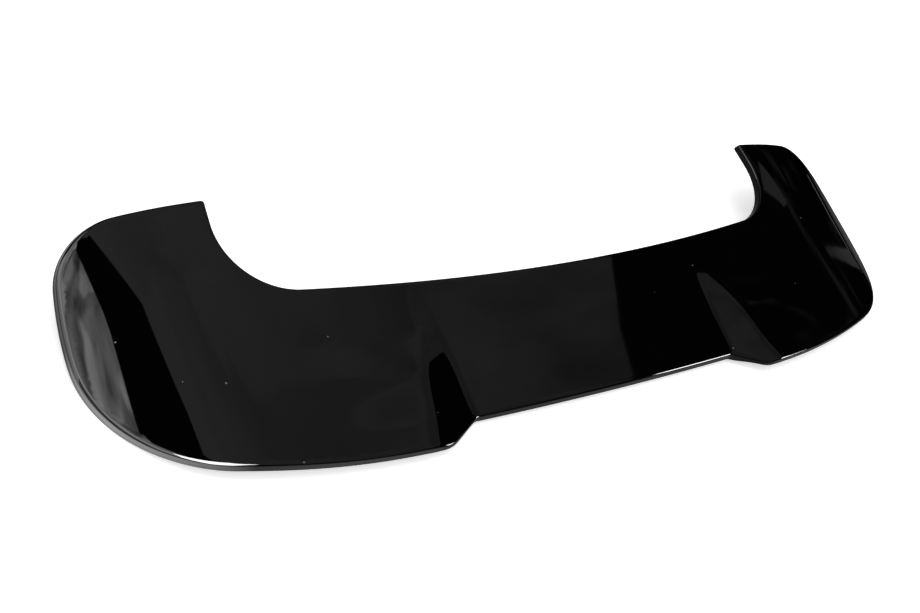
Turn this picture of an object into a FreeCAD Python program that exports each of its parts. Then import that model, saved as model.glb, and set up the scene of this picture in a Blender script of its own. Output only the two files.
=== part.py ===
import FreeCAD, Part
import math
import os
import Sketcher

# Roof spoiler cap for a hatchback: one thin, hollow plastic moulding, open underneath.
# In the moulding's own frame X is the width, Y points forwards and Z up out of the skin.
doc = FreeCAD.newDocument("RoofSpoiler")
sheet = doc.addObject("Spreadsheet::Sheet", "Sizes")

# Driving sizes in millimetres. Plan points are corners before rounding, on the +X half.
sizes = [
    ("recess_x", 199.6, "inner corner of the centre recess, from the middle"),
    ("recess_y", -9.0, "rear edge of the recess at that corner"),
    ("lobe_x", 247.0, "where the lobe's rear edge starts"),
    ("lobe_y", -33.3, "rear edge of the lobe there"),
    ("rear_x", 575.5, "outer rear corner"),
    ("rear_y", 31.1, "outer rear corner"),
    ("front_x", 563.5, "outer front corner"),
    ("front_y", 281.6, "outer front corner"),
    ("horn_x", 410.0, "inner tip of the horn"),
    ("horn_y", 287.7, "inner tip of the horn"),
    ("root_x", 415.3, "root of the horn at the leading edge"),
    ("root_y", 180.2, "root of the horn at the leading edge"),
    ("recess_round", 14, "corner radius in plan"),
    ("lobe_round", 38.6, "corner radius in plan"),
    ("rear_round", 149.4, "corner radius in plan"),
    ("front_round", 74.6, "corner radius in plan"),
    ("horn_round", 5, "corner radius in plan"),
    ("root_round", 79.9, "corner radius in plan"),
    ("recess_bow", 2.8, "how far the recess edge bows to the rear"),
    ("lobe_bow", 15.4, "how far the lobe edge bows out"),
    ("end_bow", 17.0, "how far the end bows out"),
    ("horn_bow", 0.6, "how far the horn's front bows out"),
    ("throat_bow", 1.6, "how far the horn's inner side bows in"),
    ("lead_bow", 28.5, "how far the leading edge bows in"),
    ("arch_radius", 23700, "arch of the skin across the car"),
    ("chord_radius", 8750, "crown of the skin from front to rear"),
    ("crown_y", 106, "where that crown is highest"),
    ("droop_start", 430.1, "where the ends begin to droop, from the middle"),
    ("droop_reach", 162, "how far out the droop below is reached"),
    ("droop_drop", 36.6, "droop of the ends"),
    ("lobe_rise", 10.0, "height of the lobes over the recess at its rear edge"),
    ("ramp_y", 183, "where the lobes begin to rise"),
    ("wedge_x", 202, "inner crease of the wedge, from the middle"),
    ("wedge_y", 109, "where the wedge comes out of the skin"),
    ("wedge_width", 55, "its width there"),
    ("wedge_spread", 0.28, "how fast it widens towards the rear, per millimetre"),
    ("wedge_crease", 0.14, "share of that width in which the crease turns"),
    ("wall", 3, "thickness of the moulding"),
    ("lip_depth", 10.4, "depth of the turned-down lip"),
    ("end_lip_depth", 7.0, "depth of the lip round the ends"),
    ("wedge_lip_depth", 5.5, "depth of the lip below the wedges"),
    ("edge_round", 2.6, "rounding along the top of the lip"),
    ("draw_height", 90, "height of the working solids that are trimmed away"),
    ("skin_margin", 24, "how far the working skin runs past the outline"),
]
for row, (alias, value, note) in enumerate(sizes, start=1):
    sheet.set(f"A{row}", note)
    sheet.set(f"B{row}", str(value))
    sheet.setAlias(f"B{row}", alias)
doc.recompute()


def size(alias):
    return float(sheet.get(alias))


# The plan outline is worked out first: corners joined by slightly bowed edges, then rounded.
def carrier(start, end, bow):
    """Circle through two corners that bows to the right of the way from one to the other."""
    chord = end - start
    sag = bow if abs(bow) > 1e-4 else 1e-4
    radius = (chord.Length ** 2 / 4 + sag * sag) / (2 * abs(sag))
    left = FreeCAD.Vector(-chord.y, chord.x, 0) / chord.Length
    middle = (start + end) / 2
    return middle + left * math.copysign(radius - abs(sag), sag), radius, math.copysign(1, sag)


def rounding(corner, before, after, radius, turn):
    """Centre of the arc that rounds a corner between two carriers, and where it touches them."""
    reach_a = before[1] - radius * turn * before[2]
    reach_b = after[1] - radius * turn * after[2]
    across = after[0] - before[0]
    gap = across.Length
    along = (gap ** 2 + reach_a ** 2 - reach_b ** 2) / (2 * gap)
    rise = math.sqrt(reach_a ** 2 - along ** 2)
    unit = across / gap
    side = FreeCAD.Vector(-unit.y, unit.x, 0) * rise
    foot = before[0] + unit * along
    centre = min((foot + side, foot - side), key=lambda point: (point - corner).Length)
    touch_a = before[0] + (centre - before[0]).normalize() * before[1]
    touch_b = after[0] + (centre - after[0]).normalize() * after[1]
    return centre, touch_a, touch_b


names = ["recess", "lobe", "rear", "front", "horn", "root"]
turns = [-1, 1, 1, 1, 1, -1]
edge_bows = ["", "lobe_bow", "end_bow", "horn_bow", "-throat_bow", "-lead_bow"]
edge_bows += ["-throat_bow", "horn_bow", "end_bow", "lobe_bow", "", "recess_bow"]
order = [(name, 1) for name in names] + [(name, -1) for name in reversed(names)]
corner_turns = turns + turns[::-1]
corners = []
for name, sign in order:
    corners.append(FreeCAD.Vector(sign * size(name + "_x"), size(name + "_y"), 0))
carriers = []
for number, bow in enumerate(edge_bows):
    value = 0.0
    if bow:
        value = math.copysign(size(bow.lstrip("-")), -1 if bow.startswith("-") else 1)
    carriers.append(carrier(corners[number], corners[(number + 1) % 12], value))
rounds = []
for number, (name, sign) in enumerate(order):
    rounds.append(rounding(corners[number], carriers[number - 1], carriers[number],
                           size(name + "_round"), corner_turns[number]))

# Outline sketch: edges 0 to 11, roundings 12 to 23 and the sharp corners as points 24 to 35.
outline = doc.addObject("Sketcher::SketchObject", "Outline")
flat = FreeCAD.Vector(0, 0, 1)


def arc_between(centre, radius, start, end, leftwards):
    """Arc from one point to another, turning left or right, as the sketch stores it."""
    if not leftwards:
        start, end = end, start
    first = math.atan2(start.y - centre.y, start.x - centre.x)
    last = math.atan2(end.y - centre.y, end.x - centre.x)
    if last < first:
        last += 2 * math.pi
    return Part.ArcOfCircle(Part.Circle(centre, flat, radius), first, last)


geometry = []
start_end = []
for number in range(12):
    leaves = rounds[number][2]
    arrives = rounds[(number + 1) % 12][1]
    if edge_bows[number]:
        centre, radius, side = carriers[number]
        geometry.append(arc_between(centre, radius, leaves, arrives, side > 0))
        start_end.append((1, 2) if side > 0 else (2, 1))
    else:
        geometry.append(Part.LineSegment(leaves, arrives))
        start_end.append((1, 2))
for number in range(12):
    centre, touch_a, touch_b = rounds[number]
    leftwards = corner_turns[number] > 0
    geometry.append(arc_between(centre, size(order[number][0] + "_round"), touch_a, touch_b, leftwards))
    start_end.append((1, 2) if leftwards else (2, 1))
outline.addGeometry(geometry, False)
for corner in corners:
    outline.addGeometry(Part.Point(corner), True)


def bind(constraint, expression):
    number = outline.addConstraint(constraint)
    outline.setExpression(f"Constraints[{number}]", expression)


for number in range(12):
    rounded = 12 + number
    following = 12 + (number + 1) % 12
    joins = [Sketcher.Constraint("Tangent", number, start_end[number][0], rounded, start_end[rounded][1])]
    joins.append(Sketcher.Constraint("Tangent", number, start_end[number][1],
                                     following, start_end[following][0]))
    outline.addConstraint(joins)
for number, (name, sign) in enumerate(order):
    corner = 24 + number
    before = (number - 1) % 12
    outline.addConstraint(Sketcher.Constraint("PointOnObject", corner, 1, before))
    outline.addConstraint(Sketcher.Constraint("PointOnObject", corner, 1, number))
    bind(Sketcher.Constraint("DistanceX", -1, 1, corner, 1, corners[number].x), f"{sign} * Sizes.{name}_x")
    bind(Sketcher.Constraint("DistanceY", -1, 1, corner, 1, corners[number].y), f"Sizes.{name}_y")
    bind(Sketcher.Constraint("Radius", 12 + number, size(name + "_round")), f"Sizes.{name}_round")
for number, bow in enumerate(edge_bows):
    if bow:
        ends = [order[number], order[(number + 1) % 12]]
        wide = " - ".join(f"{sign} * Sizes.{name}_x" for name, sign in ends).replace("- -1 *", "+ ")
        deep = " - ".join(f"Sizes.{name}_y" for name, sign in ends)
        sag = "Sizes." + bow.lstrip("-")
        bind(Sketcher.Constraint("Radius", number, carriers[number][1]),
             f"((({wide})^2 + ({deep})^2) / 4 + {sag}^2) / (2 * {sag})")
doc.recompute()


# The skin follows one rule: an arch, a crown, drooped ends and lobes that rise beside the recess.
def wedge_share(side, y):
    """Share of the way across the wedge, from its inner crease to its outer edge."""
    width = size("wedge_width") + size("wedge_spread") * (size("wedge_y") - y)
    return min(max((side - size("wedge_x")) / max(width, size("wedge_width") / 4), 0), 1)


def wedge_rise(share):
    """Steep just behind the crease, then easing off to the outer edge."""
    crease = size("wedge_crease")
    return share ** 2 / crease - max(share - crease, 0) ** 2 / (crease * (1 - crease))


def lobe_ramp(y):
    return max((size("ramp_y") - y) / (size("ramp_y") - size("recess_y")), 0)


def smooth(share):
    share = min(max(share, 0), 1)
    return share * share * (3 - 2 * share)


def skin_height(x, y):
    side = abs(x)
    height = -side ** 2 / (2 * size("arch_radius")) - (y - size("crown_y")) ** 2 / (2 * size("chord_radius"))
    height -= size("droop_drop") * max((side - size("droop_start")) / size("droop_reach"), 0) ** 2.5
    return height + size("lobe_rise") * lobe_ramp(y) ** 2.2 * wedge_rise(wedge_share(side, y))


def lip_height(x, y):
    side = abs(x)
    share = smooth((side - size("droop_start")) / size("droop_reach"))
    depth = size("lip_depth") + (size("end_lip_depth") - size("lip_depth")) * share
    share = wedge_share(side, y)
    notch = (4 * share * (1 - share)) ** 2 * min(lobe_ramp(y), 1)
    return skin_height(x, y) - depth - (size("wedge_lip_depth") - size("lip_depth")) * notch


def ceiling_height(x, y):
    return skin_height(x, y) - size("wall")


def surface(name, rule):
    """A smooth face over the whole plan whose height follows a rule."""
    margin = size("skin_margin")
    half = max(corner.x for corner in corners) + size("end_bow") + margin
    rear = min(corner.y for corner in corners) - size("lobe_bow") - margin
    front = max(corner.y for corner in corners) + size("horn_bow") + margin
    columns = 84
    rows = 30
    lines = []
    for column in range(columns + 1):
        x = half * (2 * column / columns - 1)
        heights = []
        for row in range(rows + 1):
            y = rear + (front - rear) * row / rows
            heights.append(FreeCAD.Vector(x, y, rule(x, y)))
        lines.append(heights)
    spline = Part.BSplineSurface()
    spline.interpolate(lines)
    feature = doc.addObject("Part::Feature", name)
    feature.Shape = spline.toShape()
    return feature


def raised(name, base, downwards=False):
    """Working solid drawn straight up or down from a face or a sketch."""
    solid = doc.addObject("Part::Extrusion", name)
    solid.Base = base
    solid.DirMode = "Custom"
    solid.Dir = FreeCAD.Vector(0, 0, -1 if downwards else 1)
    solid.Solid = True
    solid.setExpression("LengthFwd", "Sizes.draw_height")
    return solid


# Block: everything inside the outline, below the skin and above the lip's lower edge.
plan = raised("PlanPrism", outline)
plan.setExpression("LengthFwd", "2 * Sizes.draw_height")
plan.setExpression("Placement.Base.z", "-Sizes.draw_height - Sizes.droop_drop")
below_skin = raised("BelowSkin", surface("Skin", skin_height), downwards=True)
above_lip = raised("AboveLip", surface("LipEdge", lip_height))
block = doc.addObject("Part::MultiCommon", "Block")
block.Shapes = [plan, below_skin, above_lip]
doc.recompute()

# The skin turns down into the lip with an even rounding all the way round.
rounded_block = doc.addObject("Part::Fillet", "RoundedBlock")
rounded_block.Base = block
picked = []
for number, edge in enumerate(block.Shape.Edges, start=1):
    middle = edge.valueAt((edge.FirstParameter + edge.LastParameter) / 2)
    if abs(middle.z - skin_height(middle.x, middle.y)) < size("wall") / 10:
        picked.append((number, size("edge_round"), size("edge_round")))
rounded_block.Edges = picked
doc.recompute()

# The hollow underside leaves one wall everywhere below the skin and inside the lip.
outline_face = doc.addObject("Part::Face", "OutlineFace")
outline_face.Sources = [outline]
outline_face.FaceMakerClass = "Part::FaceMakerSimple"
inner_outline = doc.addObject("Part::Offset2D", "InnerOutline")
inner_outline.Source = outline_face
inner_outline.Mode = "Skin"
inner_outline.Join = "Intersection"
inner_outline.setExpression("Value", "-Sizes.wall")
inner_plan = raised("InnerPrism", inner_outline)
inner_plan.setExpression("LengthFwd", "2 * Sizes.draw_height")
inner_plan.setExpression("Placement.Base.z", "-Sizes.draw_height - Sizes.droop_drop")
below_ceiling = raised("BelowCeiling", surface("Ceiling", ceiling_height), downwards=True)
hollow = doc.addObject("Part::MultiCommon", "Hollow")
hollow.Shapes = [inner_plan, below_ceiling]
shell = doc.addObject("Part::Cut", "SpoilerShell")
shell.Base = rounded_block
shell.Tool = hollow
shell.Label = "spoiler_shell"
doc.recompute()

# Laid down, it rocks back on its drooped ends until its centre of mass is as low as it gets.
edge_points = [point for edge in shell.Shape.Edges for point in edge.discretize(60)]
balance = shell.Shape.Solids[0].CenterOfMass


def balance_height(angle):
    up = FreeCAD.Vector(0, -math.sin(math.radians(angle)), math.cos(math.radians(angle)))
    return balance.dot(up) - min(point.dot(up) for point in edge_points)


rake = min((step / 20 for step in range(-600, 601)), key=balance_height)
turned = FreeCAD.Placement(FreeCAD.Vector(), FreeCAD.Rotation(FreeCAD.Vector(1, 0, 0), -rake))
laid = shell.Shape.copy()
laid.Placement = turned
box = laid.optimalBoundingBox(False)
turned.Base = FreeCAD.Vector(-(box.XMin + box.XMax) / 2, -(box.YMin + box.YMax) / 2, -box.ZMin)
shell.Placement = turned
doc.recompute()
print(f"rake {rake:.2f} degrees, balance {balance}, placed {turned.Base}")

# Every object is checked before anything is written.
for item in doc.Objects:
    if "Invalid" in item.State or "Error" in item.State:
        raise RuntimeError(f"{item.Name} failed: {item.State}")
if shell.Shape.isNull() or not shell.Shape.isValid() or len(shell.Shape.Solids) != 1:
    raise RuntimeError("the shell is not one valid solid")
os.makedirs("parts", exist_ok=True)
shell.Shape.exportStep(f"parts/{shell.Label}.step")
print(f"volume {shell.Shape.Volume / 1000:.1f} cm3, box {shell.Shape.BoundBox}")
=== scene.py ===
import cmath
import math

import bpy
from mathutils import Matrix, Vector, geometry, kdtree


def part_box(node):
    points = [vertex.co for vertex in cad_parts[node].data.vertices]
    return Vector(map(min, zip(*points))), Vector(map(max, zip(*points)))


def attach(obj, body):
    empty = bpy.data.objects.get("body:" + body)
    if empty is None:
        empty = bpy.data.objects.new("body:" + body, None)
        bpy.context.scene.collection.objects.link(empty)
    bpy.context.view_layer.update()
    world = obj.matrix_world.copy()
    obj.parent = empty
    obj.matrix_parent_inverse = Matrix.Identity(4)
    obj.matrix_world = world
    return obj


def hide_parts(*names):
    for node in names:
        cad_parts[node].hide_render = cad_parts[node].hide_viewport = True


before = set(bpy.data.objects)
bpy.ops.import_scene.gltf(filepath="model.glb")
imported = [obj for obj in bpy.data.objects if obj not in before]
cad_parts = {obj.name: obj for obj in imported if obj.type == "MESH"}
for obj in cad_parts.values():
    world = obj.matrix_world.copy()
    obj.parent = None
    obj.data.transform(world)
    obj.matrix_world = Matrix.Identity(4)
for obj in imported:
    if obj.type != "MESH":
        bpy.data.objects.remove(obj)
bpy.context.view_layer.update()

# Spoiler moulding: one sheet of gloss-black ABS, drawn over a tool, trimmed all round and bonded to the roof.
# Its flat pattern comes first: the plan outline as corners joined by slightly bowed edges, then rounded.
# Plan points are complex numbers in metres, x across the car and y forwards.
right_half = [
    # corner, rounding (negative where the corner is hollow), bow of the edge that follows it
    (0.1996 - 0.0090j, -0.014, 0.0),
    (0.2470 - 0.0333j, 0.0386, 0.0154),
    (0.5755 + 0.0311j, 0.1494, 0.0170),
    (0.5635 + 0.2816j, 0.0746, 0.0006),
    (0.4100 + 0.2877j, 0.005, -0.0016),
    (0.4153 + 0.1802j, -0.0799, -0.0285),
]
recess_bow = 0.0028
least_bow = 1e-6
longest_step = 0.0028
widest_turn = math.radians(6)
left_bows = [bow for corner, rounding, bow in reversed(right_half[:-1])] + [recess_bow]
left_half = [(-corner.conjugate(), rounding, bow)
             for (corner, rounding, old_bow), bow in zip(reversed(right_half), left_bows)]
plan = right_half + left_half


def bowed_edge(start, end, bow):
    """Circle that carries a bowed edge: its centre, its radius and the side that its centre is on."""
    chord = end - start
    bow = bow or least_bow
    radius = (abs(chord) ** 2 / 4 + bow ** 2) / (2 * abs(bow))
    centre = (start + end) / 2 + 1j * chord / abs(chord) * math.copysign(radius - abs(bow), bow)
    return centre, radius, math.copysign(1, bow)


def corner_arc(corner, before, after, rounding):
    """Arc that rounds a corner: its centre, and where it leaves one edge and meets the next."""
    reach_before = before[1] - rounding * before[2]
    reach_after = after[1] - rounding * after[2]
    across = after[0] - before[0]
    along = (abs(across) ** 2 + reach_before ** 2 - reach_after ** 2) / (2 * abs(across))
    rise = math.sqrt(reach_before ** 2 - along ** 2)
    spots = [before[0] + across / abs(across) * complex(along, sign * rise) for sign in (1, -1)]
    centre = min(spots, key=lambda spot: abs(spot - corner))
    touches = []
    for middle, radius, side in (before, after):
        touches.append(middle + (centre - middle) / abs(centre - middle) * radius)
    return centre, touches[0], touches[1]


def arc_walk(centre, start, end, side):
    """Points from the start of an arc up to its end, each with the direction that leads inwards."""
    sweep = cmath.phase((end - centre) / (start - centre))
    radius = abs(start - centre)
    count = max(math.ceil(radius * abs(sweep) / longest_step), math.ceil(abs(sweep) / widest_turn))
    for step in range(count):
        spoke = (start - centre) * cmath.rect(1, sweep * step / count)
        yield centre + spoke, -spoke / radius * side


edges = []
for number, (corner, rounding, bow) in enumerate(plan):
    edges.append(bowed_edge(corner, plan[(number + 1) % len(plan)][0], bow))
arcs = []
for number, (corner, rounding, bow) in enumerate(plan):
    arcs.append(corner_arc(corner, edges[number - 1], edges[number], rounding))
outline = []
for number, (corner, rounding, bow) in enumerate(plan):
    centre, arrives, leaves = arcs[number]
    outline.extend(arc_walk(centre, arrives, leaves, math.copysign(1, rounding)))
    outline.extend(arc_walk(edges[number][0], leaves, arcs[(number + 1) % len(plan)][1], edges[number][2]))

# The lip is a run of rows round the outline, from the skin over the rounded edge, down the lip, under its
# trimmed edge and up inside to the ceiling. Each row has its distance in from the outline and its drop below
# the skin, both with a share of the edge's rounding, and its share of the lip's depth.
wall = 0.003
draft = 0.0012
trim_round = 0.0005
root_round = 0.0012
halfway_round = 0.3
trim_halfway = trim_round * halfway_round
root_halfway = root_round * halfway_round
edge_steps = 8
lip_steps = (0.15, 0.5, 0.9, 1.0)
rows = []
for step in range(edge_steps + 1):
    turn = math.pi / 2 * step / edge_steps
    rows.append((draft, 1 - math.sin(turn), 0.0, 1 - math.cos(turn), 0.0))
for share in lip_steps:
    rows.append((draft * (1 - share), 0.0, -trim_round * share, 1 - share, share))
rows += [(trim_halfway, 0.0, -trim_halfway, 0.0, 1.0), (trim_round, 0.0, 0.0, 0.0, 1.0)]
inner_start = len(rows)
rows += [(wall - trim_round, 0.0, 0.0, 0.0, 1.0), (wall - trim_halfway, 0.0, -trim_halfway, 0.0, 1.0)]
rows += [(wall, 0.0, -trim_round, 0.0, 1.0), (wall, 0.0, wall + root_round, 0.0, 0.0)]
rows += [(wall + root_halfway, 0.0, wall + root_halfway, 0.0, 0.0), (wall + root_round, 0.0, wall, 0.0, 0.0)]

# The edge is rounded more round the ends than along the middle.
edge_round = 0.0024
end_round_gain = 0.0022
end_round_start = 0.40
end_round_reach = 0.10


def smoothed(share):
    """Share from 0 to 1 with a soft start and end."""
    return share * share * (3.0 - share * 2.0)


edge_rounds = []
for spot, inward in outline:
    outwards = min(max((abs(spot.real) - end_round_start) / end_round_reach, 0), 1)
    edge_rounds.append(edge_round + end_round_gain * smoothed(outwards))


def row_loop(row):
    """One row's points in plan."""
    inset, rounding_share = row[:2]
    return [spot + inward * (inset + rounding_share * rounding)
            for (spot, inward), rounding in zip(outline, edge_rounds)]


# The skin and the ceiling fill the first and the last row with triangles.
skin_spacing = 0.0034
ceiling_spacing = 0.007
rim_gap = 0.7
merge_distance = 1e-7
keep_inside = 1


def filled(loop, spacing):
    """Triangles that fill a loop of points, with more points spaced evenly inside it."""
    tree = kdtree.KDTree(len(loop))
    for number, spot in enumerate(loop):
        tree.insert((spot.real, spot.imag, 0), number)
    tree.balance()
    points = [Vector((spot.real, spot.imag)) for spot in loop]
    far = max(spot.real for spot in loop)
    near_y = min(spot.imag for spot in loop)
    far_y = max(spot.imag for spot in loop)
    pitch = spacing * math.sqrt(3) / 2
    for row in range(math.ceil((far_y - near_y) / pitch)):
        y = near_y + pitch * row
        columns = math.ceil(far / spacing) + 1
        for column in range(-columns, columns + 1):
            x = (column + 0.5 * (row % 2)) * spacing
            spot, number, distance = tree.find((x, y, 0))
            inward = outline[number][1]
            inside = (x - spot.x) * inward.real + (y - spot.y) * inward.imag
            if inside > 0 and distance > rim_gap * spacing:
                points.append(Vector((x, y)))
    count = len(loop)
    ring = [(number, (number + 1) % count) for number in range(count)]
    faces, origins = geometry.delaunay_2d_cdt(points, ring, [], keep_inside, merge_distance)[2:4]
    names = [origin[0] for origin in origins]
    return points[count:], [[names[corner] for corner in face] for face in faces]


count = len(outline)
places = []
drops = []
shares = []
for row in rows:
    places += [(spot.real, spot.imag, 0) for spot in row_loop(row)]
    drops += [row[2] + row[3] * rounding for rounding in edge_rounds]
    shares += [row[4]] * count
faces = []
inside = []
for row in range(len(rows) - 1):
    for number in range(count):
        following = (number + 1) % count
        faces.append((row * count + number, (row + 1) * count + number,
                      (row + 1) * count + following, row * count + following))
    inside += [row >= inner_start] * count
for row, drop, spacing in ((0, 0.0, skin_spacing), (len(rows) - 1, wall, ceiling_spacing)):
    points, triangles = filled(row_loop(rows[row]), spacing)
    base = len(places) - count
    for triangle in triangles:
        named = [corner + (row * count if corner < count else base) for corner in triangle]
        faces.append(named[::-1] if row else named)
    inside += [row > 0] * len(triangles)
    places += [(point.x, point.y, 0) for point in points]
    drops += [drop] * len(points)
    shares += [0.0] * len(points)
pattern = bpy.data.meshes.new("flat_pattern")
pattern.from_pydata(places, [], faces)
pattern.attributes.new("drop", "FLOAT", "POINT").data.foreach_set("value", drops)
pattern.attributes.new("lip_share", "FLOAT", "POINT").data.foreach_set("value", shares)
pattern.attributes.new("inside", "BOOLEAN", "FACE").data.foreach_set("value", inside)


class Socket:
    """An output of a node that can stand in sums; each sum adds its Math node to the same tree."""

    def __init__(self, output):
        self.output = output

    @classmethod
    def node(cls, tree, kind, settings=(), values=(), output=0):
        made = tree.nodes.new(kind)
        for name, setting in dict(settings).items():
            setattr(made, name, setting)
        for name, value in dict(values).items():
            if isinstance(value, Socket):
                tree.links.new(value.output, made.inputs[name])
            else:
                made.inputs[name].default_value = value
        return cls(made.outputs[output]) if made.outputs else None

    def sum(self, operation, *others):
        return Socket.node(self.output.id_data, "ShaderNodeMath", {"operation": operation},
                           enumerate((self, *others)))

    def part(self, name):
        return Socket(self.output.node.outputs[name])

    def __add__(self, other):
        return self.sum("ADD", other)

    def __radd__(self, other):
        return self.sum("ADD", other)

    def __sub__(self, other):
        return self.sum("SUBTRACT", other)

    def __rsub__(self, other):
        return (self * -1).sum("ADD", other)

    def __mul__(self, other):
        return self.sum("MULTIPLY", other)

    def __rmul__(self, other):
        return self.sum("MULTIPLY", other)

    def __truediv__(self, other):
        return self.sum("DIVIDE", other)

    def __pow__(self, other):
        return self.sum("POWER", other)

    def held(self, low, high):
        return self.sum("MAXIMUM", low).sum("MINIMUM", high)


def noise(place, scale, detail, distortion=0.0):
    """Noise over a surface."""
    return Socket.node(place.output.id_data, "ShaderNodeTexNoise", values={
        "Vector": place, "Scale": scale, "Detail": detail, "Distortion": distortion})


def mixed(share, first, second):
    """Colour that goes from a first to a second one by a share."""
    return Socket.node(share.output.id_data, "ShaderNodeMix", {"data_type": "RGBA"}, {
        0: share, 6: first, 7: second}, 2)


# Gloss finish of the skin: near-black, mirror smooth and very slightly wavy from the forming, with faint
# wiping haze and a few specks of dust.
polished_black = (0.0004, 0.0004, 0.0005, 1)
wiped_black = (0.0010, 0.0010, 0.0012, 1)
dust_grey = (0.06, 0.06, 0.06, 1)
polish_roughness = 0.022
haze_start = 0.35
haze_dulling = 0.05
dust_dulling = 0.5
dust_share = 0.10
dust_size = 0.010
dust_size_spread = 0.016
wave_height = 0.00006
peel_share = 0.004
gloss = bpy.data.materials.new("gloss_black_skin")
gloss.use_nodes = True
tree = gloss.node_tree
shader = tree.nodes["Principled BSDF"]
object_place = Socket.node(tree, "ShaderNodeTexCoord").part("Object")
waves = noise(object_place, scale=11.0, detail=1.0).part("Fac")
haze = noise(object_place, scale=6.0, detail=5.0, distortion=0.8).part("Fac")
peel = noise(object_place, scale=420.0, detail=2.0).part("Fac")
cells = Socket.node(tree, "ShaderNodeTexVoronoi", {"voronoi_dimensions": "2D"}, {
    "Vector": object_place, "Scale": 24.0})
chance = Socket.node(tree, "ShaderNodeSeparateColor", values={"Color": cells.part("Color")})
picked = chance.part("Red").sum("GREATER_THAN", 1 - dust_share)
speck_size = dust_size + chance.part("Green") * dust_size_spread
speck = cells.part("Distance").sum("LESS_THAN", speck_size) * picked
skin_colour = mixed(speck, mixed(haze, polished_black, wiped_black), dust_grey)
skin_roughness = polish_roughness + (haze - haze_start).held(0.0, 1.0) * haze_dulling + speck * dust_dulling
ripple = Socket.node(tree, "ShaderNodeBump", values={
    "Strength": 1.0, "Distance": wave_height, "Height": waves + peel * peel_share})
tree.links.new(skin_colour.output, shader.inputs["Base Color"])
tree.links.new(skin_roughness.output, shader.inputs["Roughness"])
tree.links.new(ripple.output, shader.inputs["Normal"])
shader.inputs["IOR"].default_value = 1.5

# Inner side of the same sheet: the face that lay away from the polish, dull and faintly grained.
inside_black = (0.008, 0.008, 0.009, 1)
inside_grey = (0.018, 0.018, 0.019, 1)
least_dullness = 0.36
dullness_spread = 0.16
dull = bpy.data.materials.new("dull_black_inside")
dull.use_nodes = True
tree = dull.node_tree
shader = tree.nodes["Principled BSDF"]
object_place = Socket.node(tree, "ShaderNodeTexCoord").part("Object")
mottle = noise(object_place, scale=14.0, detail=6.0).part("Fac")
grain = noise(object_place, scale=900.0, detail=2.0).part("Fac")
inside_colour = mixed(mottle, inside_black, inside_grey)
inside_roughness = least_dullness + mottle * dullness_spread
inside_grain = Socket.node(tree, "ShaderNodeBump", values={
    "Strength": 0.6, "Distance": 0.0001, "Height": grain})
tree.links.new(inside_colour.output, shader.inputs["Base Color"])
tree.links.new(inside_roughness.output, shader.inputs["Roughness"])
tree.links.new(inside_grain.output, shader.inputs["Normal"])

# Forming: the flat pattern is raised to the skin's rule, an arch, a crown, drooped ends and lobes that rise
# beside the recess over a wedge, with a low swell beside it. The lip's rows hang from the skin, and the whole
# is raked back as it lies.
forming = bpy.data.node_groups.new("forming_rule", "GeometryNodeTree")
forming.interface.new_socket("Geometry", in_out="INPUT", socket_type="NodeSocketGeometry")
forming.interface.new_socket("Geometry", in_out="OUTPUT", socket_type="NodeSocketGeometry")
forming_sizes = {
    "arch radius": 23.7, "chord radius": 8.75, "crown y": 0.106,
    "droop start": 0.4301, "droop reach": 0.162, "droop drop": 0.0366, "droop power": 2.5,
    "lobe rise": 0.010, "lobe power": 1.95, "ramp y": 0.183, "recess y": -0.009,
    "wedge x": 0.2015, "wedge y": 0.099, "wedge width": 0.028, "wedge spread": 0.0336,
    "inner crease": 0.32, "outer crease": 0.4,
    "swell": 0.0019, "swell y": 0.052, "swell reach": 0.055, "swell end x": 0.41, "swell fade": 0.14,
    "lip depth": 0.0104, "end lip depth": 0.007, "wedge lip depth": 0.0055, "rake": math.radians(13.4),
}
input_names = {}
for name in forming_sizes:
    entry = forming.interface.new_socket(name, in_out="INPUT", socket_type="NodeSocketFloat")
    input_names[name] = entry.identifier
group_input = Socket.node(forming, "NodeGroupInput")
size = {name: group_input.part(name) for name in forming_sizes}


def pattern_value(name, kind):
    """Value that the flat pattern carries."""
    return Socket.node(forming, "GeometryNodeInputNamedAttribute", {"data_type": kind}, {"Name": name})


def eased(distance, turn):
    """Distance past a crease, and none before it, with the crease rounded over a width."""
    begun = (distance + turn * 0.5).sum("MAXIMUM", 0.0)
    done = (distance - turn * 0.5).sum("MAXIMUM", 0.0)
    return (begun * begun - done * done) / (turn * 2.0)


flat = Socket.node(forming, "ShaderNodeSeparateXYZ", values={
    0: Socket.node(forming, "GeometryNodeInputPosition")})
x = flat.part("X")
y = flat.part("Y")
side = x.sum("ABSOLUTE")
behind = size["wedge y"] - y
wedge_width = (size["wedge width"] ** 2.0 + size["wedge spread"] * behind.sum("MAXIMUM", 0.0)) ** 0.5
past_crease = side - size["wedge x"]
rising = eased(past_crease, wedge_width * size["inner crease"])
rising = (rising - eased(past_crease - wedge_width, wedge_width * size["outer crease"])) / wedge_width
across = (past_crease / wedge_width).held(0.0, 1.0)
ramp = ((size["ramp y"] - y) / (size["ramp y"] - size["recess y"])).sum("MAXIMUM", 0.0)
drooping = ((side - size["droop start"]) / size["droop reach"]).sum("MAXIMUM", 0.0)
swelling = (1.0 - ((y - size["swell y"]) / size["swell reach"]) ** 2.0).sum("MAXIMUM", 0.0)
fading = smoothed(((size["swell end x"] - side) / size["swell fade"]).held(0.0, 1.0))
lobe = size["lobe rise"] * ramp ** size["lobe power"]
skin = (lobe + size["swell"] * swelling * swelling * fading) * rising
skin = skin - side * side / (size["arch radius"] * 2.0)
skin = skin - (y - size["crown y"]) ** 2.0 / (size["chord radius"] * 2.0)
skin = skin - size["droop drop"] * drooping ** size["droop power"]
ending = smoothed(drooping.sum("MINIMUM", 1.0))
notch = (across * (1.0 - across) * 4.0) ** 2.0 * ramp.sum("MINIMUM", 1.0)
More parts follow.
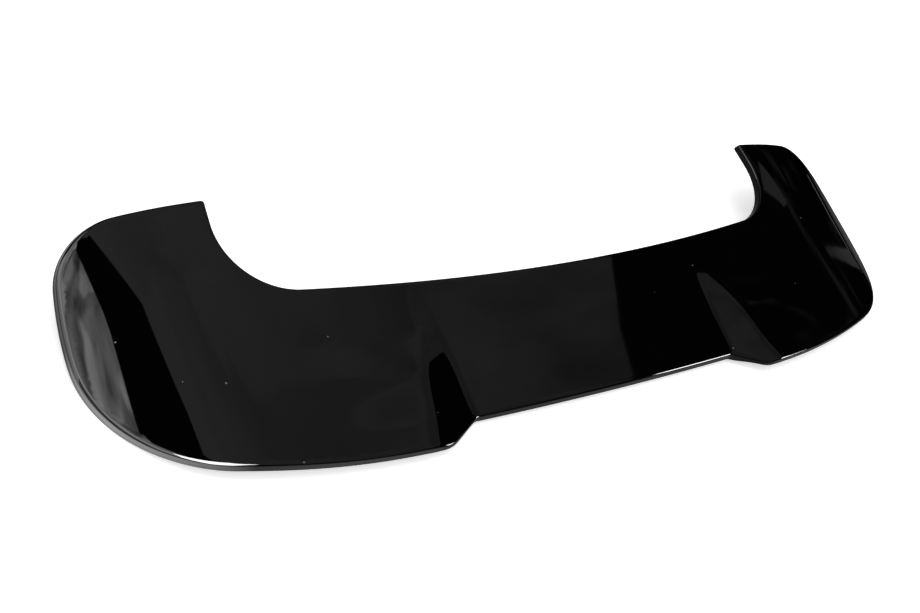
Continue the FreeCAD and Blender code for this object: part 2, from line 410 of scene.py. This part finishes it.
lip = size["lip depth"] + (size["end lip depth"] - size["lip depth"]) * ending
lip = lip + (size["wedge lip depth"] - size["lip depth"]) * notch
z = skin - pattern_value("drop", "FLOAT") - pattern_value("lip_share", "FLOAT") * lip
cosine = size["rake"].sum("COSINE")
sine = size["rake"].sum("SINE")
formed_place = Socket.node(forming, "ShaderNodeCombineXYZ", values={
    "X": x, "Y": y * cosine - z * sine, "Z": y * sine + z * cosine})
formed = Socket.node(forming, "GeometryNodeSetPosition", values={
    "Geometry": group_input.part("Geometry"), "Position": formed_place})
formed = Socket.node(forming, "GeometryNodeSetShadeSmooth", values={"Geometry": formed})
formed = Socket.node(forming, "GeometryNodeRealizeInstances", values={"Geometry": formed})
formed = Socket.node(forming, "GeometryNodeSetMaterial", values={"Geometry": formed, "Material": gloss})
formed = Socket.node(forming, "GeometryNodeSetMaterial", values={
    "Geometry": formed, "Selection": pattern_value("inside", "BOOLEAN"), "Material": dull})
Socket.node(forming, "NodeGroupOutput", values={"Geometry": formed})

moulding = bpy.data.objects.new("spoiler_moulding", pattern)
bpy.context.scene.collection.objects.link(moulding)
modifier = moulding.modifiers.new("forming", "NODES")
modifier.node_group = forming
for name, value in forming_sizes.items():
    modifier[input_names[name]] = value
shaped = bpy.data.meshes.new_from_object(moulding.evaluated_get(bpy.context.evaluated_depsgraph_get()))
moulding.modifiers.remove(modifier)
moulding.data = shaped
low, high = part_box("spoiler_shell")
own_low = [min(vertex.co[axis] for vertex in shaped.vertices) for axis in range(3)]
own_high = [max(vertex.co[axis] for vertex in shaped.vertices) for axis in range(3)]
settle = [(low[axis] + high[axis] - own_low[axis] - own_high[axis]) / 2 for axis in (0, 1)]
shaped.transform(Matrix.Translation((settle[0], settle[1], low[2] - own_low[2])))
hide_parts("spoiler_shell")
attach(moulding, "root")

# Studio floor: a sheet of white paper that keeps the part's soft shadow and looks whiter away from the part.
# The gloss mirrors it only near the part, and most below the left end. It is see-through from below, so that
# the inner side can be looked at.
floor_half = 6.0
paper_colour = (0.95, 0.95, 0.95, 1)
squeeze_across = 0.75
near_glow = 0.55
far_glow_gain = 0.45
mirrored_reach = 0.8421
middle_mirrored = 0.2
left_mirrored_gain = 0.25
end_mirrored_gain = 1.1
end_rear_mirrored_gain = 6.9


def square(half):
    """Corners in plan of a square round the part."""
    return [(-half, -half), (half, -half), (half, half), (-half, half)]


def level(height, plan_corners):
    """Corners of a sheet that lies or hangs level."""
    return [(across_car, along_car, height) for across_car, along_car in plan_corners]


def share_past(place, start, per_metre):
    """Share that grows from 0 at a start, by so much per metre, up to 1."""
    return ((place - start) * per_metre).held(0.0, 1.0)


floor_mesh = bpy.data.meshes.new("floor")
floor_mesh.from_pydata(level(0.0, square(floor_half)), [], [(0, 1, 2, 3)])
floor = bpy.data.objects.new("floor", floor_mesh)
bpy.context.scene.collection.objects.link(floor)
paper = bpy.data.materials.new("white_paper")
paper.use_nodes = True
tree = paper.node_tree
tree.nodes.clear()
ray = Socket.node(tree, "ShaderNodeLightPath")
seen = (ray.part("Is Camera Ray") + ray.part("Is Transmission Ray")).sum("MINIMUM", 1.0)
floor_place = Socket.node(tree, "ShaderNodeSeparateXYZ", values={
    0: Socket.node(tree, "ShaderNodeTexCoord").part("Object")})
floor_x = floor_place.part("X")
floor_y = floor_place.part("Y")
from_part = ((floor_x * squeeze_across) ** 2.0 + floor_y ** 2.0) ** 0.5
far_off = share_past(from_part, start=0.9, per_metre=1.0)
near_part = share_past(from_part, start=mirrored_reach, per_metre=-1.9)
past_recess = share_past(floor_x, start=-0.2, per_metre=-5.0)
toward_left = share_past(floor_x, start=-0.46, per_metre=-7.0)
toward_rear = share_past(floor_y, start=0.06, per_metre=-10.0)
lit = Socket.node(tree, "ShaderNodeBsdfDiffuse", values={"Color": paper_colour})
glow = near_glow + far_off * far_glow_gain
white = Socket.node(tree, "ShaderNodeEmission", values={"Color": seen * glow, "Strength": 1.0})
both = Socket.node(tree, "ShaderNodeAddShader", values={0: lit, 1: white})
end_mirrored = toward_left * (end_mirrored_gain + toward_rear * end_rear_mirrored_gain)
mirrored_glow = near_part * (middle_mirrored + past_recess * left_mirrored_gain + end_mirrored)
mirrored = Socket.node(tree, "ShaderNodeEmission", values={"Color": mirrored_glow, "Strength": 1.0})
upper = Socket.node(tree, "ShaderNodeMixShader", values={0: ray.part("Is Glossy Ray"), 1: both, 2: mirrored})
from_below = Socket.node(tree, "ShaderNodeNewGeometry").part("Backfacing")
clear = Socket.node(tree, "ShaderNodeBsdfTransparent")
surface = Socket.node(tree, "ShaderNodeMixShader", values={0: from_below, 1: upper, 2: clear})
Socket.node(tree, "ShaderNodeOutputMaterial", values={"Surface": surface})
floor_mesh.materials.append(paper)

# Studio lamp: one large soft lamp overhead, which lights the paper and the part and throws the soft shadow.
# The gloss doesn't mirror it.
lamp_size = 2.8
lamp_data = bpy.data.lights.new("soft_key", "AREA")
lamp_data.shape = "RECTANGLE"
lamp_data.size = lamp_size
lamp_data.size_y = lamp_size
lamp_data.energy = 34.0
lamp = bpy.data.objects.new("soft_key", lamp_data)
bpy.context.scene.collection.objects.link(lamp)
lamp.location = (0.2, 0.9, 3.2)
lamp.rotation_euler = (-lamp.location).to_track_quat("-Z", "Y").to_euler()
lamp.visible_camera = False
lamp.visible_glossy = False

# Studio cards: sheets that only the gloss sees, since gloss black looks like what it mirrors. Large ones hang
# above and beside the part, small bright ones behind it draw the white lines along its edges, and black flags
# close the set. A card glows from its darkest to its lightest folds, as draped cloth does.
card_height = 2.2
card_distance = 2.2
card_half = 3.0
left_wall_x = -2.7
left_wall_foot = 1.15
left_front_y = 0.6
leaf_height = 0.42
right_wall_x = 4.7
right_wall_half = 2.5
flag_half = 5.5
flag_height = 4.4
fold_turn = 0.35
fold_wander = 1.6
sharp_folds = 0.5
soft_folds = 1.1
soft_fold_start = 0.3


def upright(card_x, corners):
    """Corners of a card that stands across the car, from how far forwards and how high each is."""
    return [(card_x, forwards, height) for forwards, height in corners]


def standing(start, end, foot, top):
    """Corners of a card that stands over a line in plan."""
    return [(*start, foot), (*end, foot), (*end, top), (*start, top)]


def seen_at(directions):
    """Corners seen from the part at azimuths (0 is +X, 90 is +Y) and elevations in degrees."""
    corners = []
    for azimuth, elevation in directions:
        spoke = cmath.rect(card_distance * math.cos(math.radians(elevation)), math.radians(azimuth))
        corners.append((spoke.real, spoke.imag, card_distance * math.sin(math.radians(elevation))))
    return corners


def hang_card(name, corners, darkest=0.0, lightest=0.0, slope=0.0, folds=(1.0, 1.0)):
    """Card that glows, with a change of its glow per metre of X and so many folds per metre of X and Y."""
    card_mesh = bpy.data.meshes.new(name)
    card_mesh.from_pydata(corners, [], [list(range(len(corners)))])
    card = bpy.data.objects.new(name, card_mesh)
    bpy.context.scene.collection.objects.link(card)
    card.visible_camera = False
    card.visible_diffuse = False
    card.visible_shadow = False
    cloth = bpy.data.materials.new(name)
    cloth.use_nodes = True
    tree = cloth.node_tree
    tree.nodes.clear()
    card_place = Socket.node(tree, "ShaderNodeTexCoord").part("Object")
    drape = Socket.node(tree, "ShaderNodeMapping", values={
        "Vector": card_place, "Rotation": (0.0, 0.0, fold_turn), "Scale": (folds[0], folds[1], folds[0])})
    wander = noise(drape, scale=0.8, detail=2.0).part("Color")
    bent = Socket.node(tree, "ShaderNodeVectorMath", {"operation": "MULTIPLY_ADD"}, {
        0: wander, 1: (fold_wander, fold_wander, fold_wander), 2: drape})
    facets = Socket.node(tree, "ShaderNodeTexVoronoi", {"feature": "SMOOTH_F1"}, {
        "Vector": bent, "Scale": 0.9, "Smoothness": 0.3})
    facet = Socket.node(tree, "ShaderNodeSeparateColor", values={"Color": facets.part("Color")}).part("Red")
    soft = noise(drape, scale=1.0, detail=4.0).part("Fac")
    crumple = (facet * sharp_folds + (soft - soft_fold_start) * soft_folds).held(0.0, 1.0)
    along = Socket.node(tree, "ShaderNodeSeparateXYZ", values={0: card_place}).part("X")
    strength = (darkest + crumple * (lightest - darkest) + along * slope).sum("MAXIMUM", 0.0)
    shine = Socket.node(tree, "ShaderNodeEmission", values={"Color": strength, "Strength": 1.0})
    Socket.node(tree, "ShaderNodeOutputMaterial", values={"Surface": shine})
    card_mesh.materials.append(cloth)


hang_card("ceiling_card", level(card_height, [
    (2.05, -card_half), (2.10, 0.1), (2.18, 0.45), (2.4, card_half), (-1.1, card_half), (-1.1, 0.82),
    (-0.92, 0.70), (-0.5, 0.43), (-0.40, 0.33), (-0.40, -card_half)]),
    darkest=0.26, lightest=0.42, slope=-0.085, folds=(2.4, 5.0))
hang_card("left_card", level(card_height, [
    (-1.27, -card_half), (-1.27, 0.39), (-1.15, 0.46), (-1.19, 0.58), (-1.25, 0.75), (-1.25, card_half),
    (left_wall_x, card_half), (left_wall_x, -card_half)]),
    darkest=-1.7, lightest=3.4, slope=-0.9, folds=(2.6, 12.0))
left_rear_end = (left_wall_x, -card_half)
left_front_start = (left_wall_x, left_front_y)
left_front_end = (left_wall_x, card_half)
hang_card("left_wall_card", standing(left_rear_end, left_front_end, left_wall_foot, card_height),
          darkest=3.0, lightest=5.5, folds=(2.0, 2.0))
hang_card("left_low_card", standing(left_rear_end, left_front_start, 0.05, left_wall_foot),
          darkest=0.5, lightest=0.9, folds=(2.0, 2.0))
hang_card("left_front_card", standing(left_front_start, left_front_end, 0.0, left_wall_foot),
          darkest=2.0, lightest=3.4, folds=(2.0, 2.0))
hang_card("right_rear_card", seen_at([
    (-43.5, 13), (-27, 15), (-27, 33), (-33.5, 33.5), (-38, 28), (-42, 21)]),
    darkest=26.0, lightest=26.0)
hang_card("left_rear_card", seen_at([
    (-157, 40), (-145, 22), (-125, 10), (-112, 18), (-100, 42), (-114, 60), (-127, 70), (-142, 60)]),
    darkest=28.0, lightest=28.0)
hang_card("leaf_card", level(leaf_height, [
    (0.899, 0.235), (0.885, 0.174), (0.933, 0.137), (0.980, 0.152), (0.940, 0.208)]),
    darkest=0.12, lightest=0.2, folds=(3.0, 3.0))
hang_card("right_drape", level(card_height + 0.01, [
    (2.9, -1.2), (right_wall_x, -1.2), (right_wall_x, 1.6), (2.9, 1.6)]),
    darkest=-0.10, lightest=0.10, folds=(2.2, 6.0))
hang_card("right_backdrop", standing(
    (right_wall_x, -right_wall_half), (right_wall_x, right_wall_half), 0.0, card_height),
    darkest=-0.07, lightest=0.05, folds=(2.0, 6.0))
hang_card("right_strip", upright(right_wall_x - 0.01, [
    (0.95, 0.0), (1.35, 0.0), (1.35, 0.07), (0.95, 0.05)]),
    darkest=0.4, lightest=0.4)
hang_card("right_pole", upright(right_wall_x - 0.02, [
    (0.92, 0.0), (1.00, 0.0), (0.89, 0.7), (0.81, 1.4), (0.75, 2.1), (0.73, 2.1), (0.77, 1.4), (0.83, 0.7)]),
    darkest=0.10, lightest=0.16, folds=(3.0, 3.0))
rear_left, rear_right, front_right, front_left = square(flag_half)
hang_card("flag_ceiling", level(flag_height, square(flag_half)))
hang_card("flag_left", standing(rear_left, front_left, 0.0, flag_height))
hang_card("flag_right", standing(rear_right, front_right, 0.0, flag_height))
hang_card("flag_rear", standing(rear_left, rear_right, 0.0, flag_height))
hang_card("flag_front", standing(front_left, front_right, 0.0, flag_height))

# Studio surroundings: a white room. It is white to the eye, and in the gloss where no flag hides it, and it
# gives the paper and the part a dimmer light from all round.
room_light = 0.7
world = bpy.data.worlds.new("studio")
bpy.context.scene.world = world
world.use_nodes = True
tree = world.node_tree
tree.nodes.clear()
ray = Socket.node(tree, "ShaderNodeLightPath")
seen = ray.part("Is Camera Ray") + ray.part("Is Glossy Ray") + ray.part("Is Transmission Ray")
around = seen.held(0.0, 1.0).sum("MAXIMUM", ray.part("Is Diffuse Ray") * room_light)
shine = Socket.node(tree, "ShaderNodeBackground", values={"Color": around, "Strength": 1.0})
Socket.node(tree, "ShaderNodeOutputWorld", values={"Surface": shine})

# Camera: a normal lens above and behind the left end, turned about its axis as the photograph was.
# Its focal length comes from the photograph's width, both in pixels.
photo_width = 920
focal_pixels = 1300
camera_data = bpy.data.cameras.new("camera")
camera_data.sensor_width = 36.0
camera_data.lens = camera_data.sensor_width * focal_pixels / photo_width
camera_data.shift_y = -0.0008
camera = bpy.data.objects.new("camera", camera_data)
bpy.context.scene.collection.objects.link(camera)
camera.location = (-1.01031, -0.66449, 0.98311)
aim = Vector((-0.14977, 0.00176, 0.030))
camera_roll = math.radians(30.194)
straight = (aim - camera.location).to_track_quat("-Z", "Y").to_matrix()
camera.rotation_euler = (straight @ Matrix.Rotation(camera_roll, 3, "Z")).to_euler()
bpy.context.scene.camera = camera
bpy.context.scene.view_settings.view_transform = "Standard"
